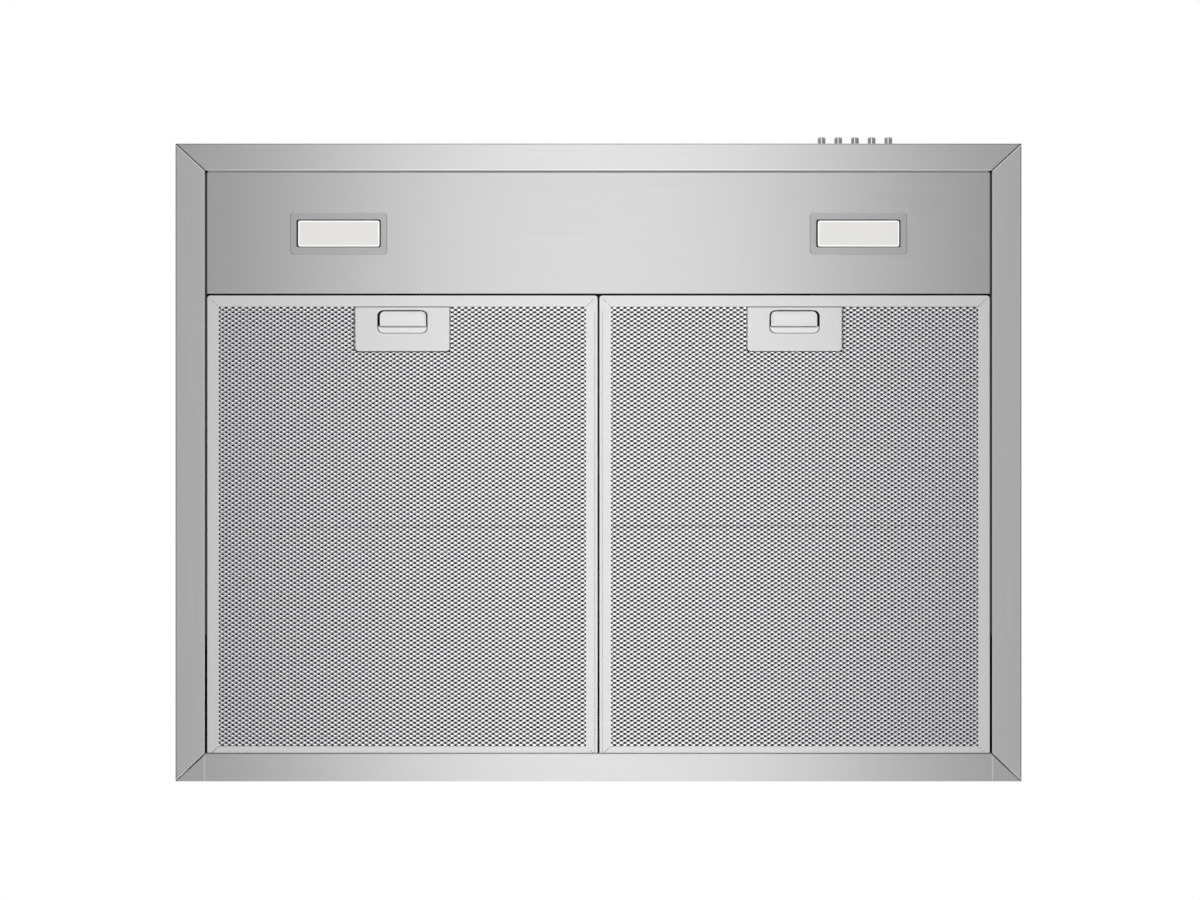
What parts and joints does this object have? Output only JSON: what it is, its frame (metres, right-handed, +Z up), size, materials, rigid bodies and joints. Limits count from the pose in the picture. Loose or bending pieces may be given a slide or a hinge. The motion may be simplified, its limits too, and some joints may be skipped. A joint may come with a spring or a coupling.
{
  "type": "wall mount range hood",
  "caption": "Wall mounted kitchen range hood with a pyramid canopy, mesh grease filters, lamps, push buttons, a blower and a telescoping chimney.",
  "frame": {"origin": "on the wall plane, on the middle line, level with the lower face of the rim", "axes": "+Z up, +Y into the wall, +X to the right seen from the front; the front faces -Y"},
  "size_m": [0.76, 0.5796, 0.72],
  "materials": {
    "stainless": "brushed along the width",
    "bezel_steel": "fine satin",
    "frosted_lens": "frosted",
    "zinc_steel": "dull galvanised",
    "fastener": "bright zinc",
    "board_white": "matt",
    "black_plastic": "matt",
    "white_plastic": "semi-gloss",
    "black_rubber": "matt",
    "motor_paint": "satin",
    "button_chrome": "polished",
    "filter_aluminium": "satin",
    "mesh_aluminium": "bright",
    "core_aluminium": "dull",
    "latch_aluminium": "satin"
  },
  "bodies": {
    "hood": {"canopy_shell": "stainless", "back_panel": "stainless", "light_panel": "stainless", "chimney_lower": "stainless", "lamp_bezel_left": "bezel_steel", "lamp_bezel_right": "bezel_steel", "lamp_lens_left": "frosted_lens", "lamp_lens_right": "frosted_lens", "side_rail_left": "zinc_steel", "side_rail_right": "zinc_steel", "lamp_housing_left": "zinc_steel", "lamp_housing_right": "zinc_steel", "switch_bracket": "zinc_steel", "junction_box": "zinc_steel", "junction_cover": "zinc_steel", "blower_box": "zinc_steel", "scroll_wrap": "zinc_steel", "scroll_plate_left": "zinc_steel", "scroll_plate_right": "zinc_steel", "motor_bracket": "zinc_steel", "duct_collar": "zinc_steel", "panel_rivets": "fastener", "light_panel_screws": "fastener", "blower_screws": "fastener", "chimney_screws": "fastener", "damper_pin": "fastener", "led_board_left": "board_white", "led_board_right": "board_white", "switch_block": "black_plastic", "led_driver": "white_plastic", "motor_capacitor": "white_plastic", "terminal_block": "white_plastic", "cable_bushing": "black_rubber", "wiring_loom": "black_rubber", "motor_grommets": "black_rubber", "motor": "motor_paint"},
    "chimney_top": {"chimney_upper": "stainless", "chimney_bracket": "zinc_steel", "bracket_screws": "fastener"},
    "filter_left": {"filter_frame_left": "filter_aluminium", "filter_mesh_left": "mesh_aluminium", "filter_core_left": "core_aluminium", "latch_plate_left": "filter_aluminium", "latch_spring_left": "fastener"},
    "filter_right": {"filter_frame_right": "filter_aluminium", "filter_mesh_right": "mesh_aluminium", "filter_core_right": "core_aluminium", "latch_plate_right": "filter_aluminium", "latch_spring_right": "fastener"},
    "latch_left": {"latch_slider_left": "latch_aluminium"},
    "latch_right": {"latch_slider_right": "latch_aluminium"},
    "fan": {"impeller": "zinc_steel", "motor_shaft": "fastener"},
    "damper_front": {"damper_flap_front": "zinc_steel"},
    "damper_rear": {"damper_flap_rear": "zinc_steel"},
    "button_light": {"button_light": "button_chrome"},
    "button_off": {"button_off": "button_chrome"},
    "button_low": {"button_low": "button_chrome"},
    "button_medium": {"button_medium": "button_chrome"},
    "button_high": {"button_high": "button_chrome"}
  },
  "joints": [
    {"name": "press_light", "type": "slide", "parent": "hood", "child": "button_light", "axis": [0, 1, 0], "range_m": [0, 0.003], "stiffness_N_per_m": 400, "springref_m": -0.002},
    {"name": "press_off", "type": "slide", "parent": "hood", "child": "button_off", "axis": [0, 1, 0], "range_m": [0, 0.003], "stiffness_N_per_m": 400, "springref_m": -0.002},
    {"name": "press_low", "type": "slide", "parent": "hood", "child": "button_low", "axis": [0, 1, 0], "range_m": [0, 0.003], "stiffness_N_per_m": 400, "springref_m": -0.002},
    {"name": "press_medium", "type": "slide", "parent": "hood", "child": "button_medium", "axis": [0, 1, 0], "range_m": [0, 0.003], "stiffness_N_per_m": 400, "springref_m": -0.002},
    {"name": "press_high", "type": "slide", "parent": "hood", "child": "button_high", "axis": [0, 1, 0], "range_m": [0, 0.003], "stiffness_N_per_m": 400, "springref_m": -0.002},
    {"name": "filter_left_tilt", "type": "hinge", "parent": "hood", "child": "filter_left", "pos_m": [0, -0.0259, 0.0013], "axis": [1, 0, 0], "range_deg": [0, 80]},
    {"name": "latch_left_pull", "type": "slide", "parent": "filter_left", "child": "latch_left", "axis": [0, 1, 0], "range_m": [0, 0.007], "stiffness_N_per_m": 500, "springref_m": -0.002, "deforming": ["latch_spring_left"]},
    {"name": "filter_right_tilt", "type": "hinge", "parent": "hood", "child": "filter_right", "pos_m": [0, -0.0259, 0.0013], "axis": [1, 0, 0], "range_deg": [0, 80]},
    {"name": "latch_right_pull", "type": "slide", "parent": "filter_right", "child": "latch_right", "axis": [0, 1, 0], "range_m": [0, 0.007], "stiffness_N_per_m": 500, "springref_m": -0.002, "deforming": ["latch_spring_right"]},
    {"name": "fan_spin", "type": "hinge", "parent": "hood", "child": "fan", "pos_m": [0, -0.145, 0.238], "axis": [1, 0, 0], "continuous": true},
    {"name": "damper_front_swing", "type": "hinge", "parent": "hood", "child": "damper_front", "pos_m": [0, -0.17829, 0.39], "axis": [-1, 0, 0], "range_deg": [0, 75]},
    {"name": "damper_rear_swing", "type": "hinge", "parent": "hood", "child": "damper_rear", "pos_m": [0, -0.17829, 0.39], "axis": [1, 0, 0], "range_deg": [0, 75]},
    {"name": "chimney_raise", "type": "slide", "parent": "hood", "child": "chimney_top", "axis": [0, 0, 1], "range_m": [0, 0.3]}
  ]
}
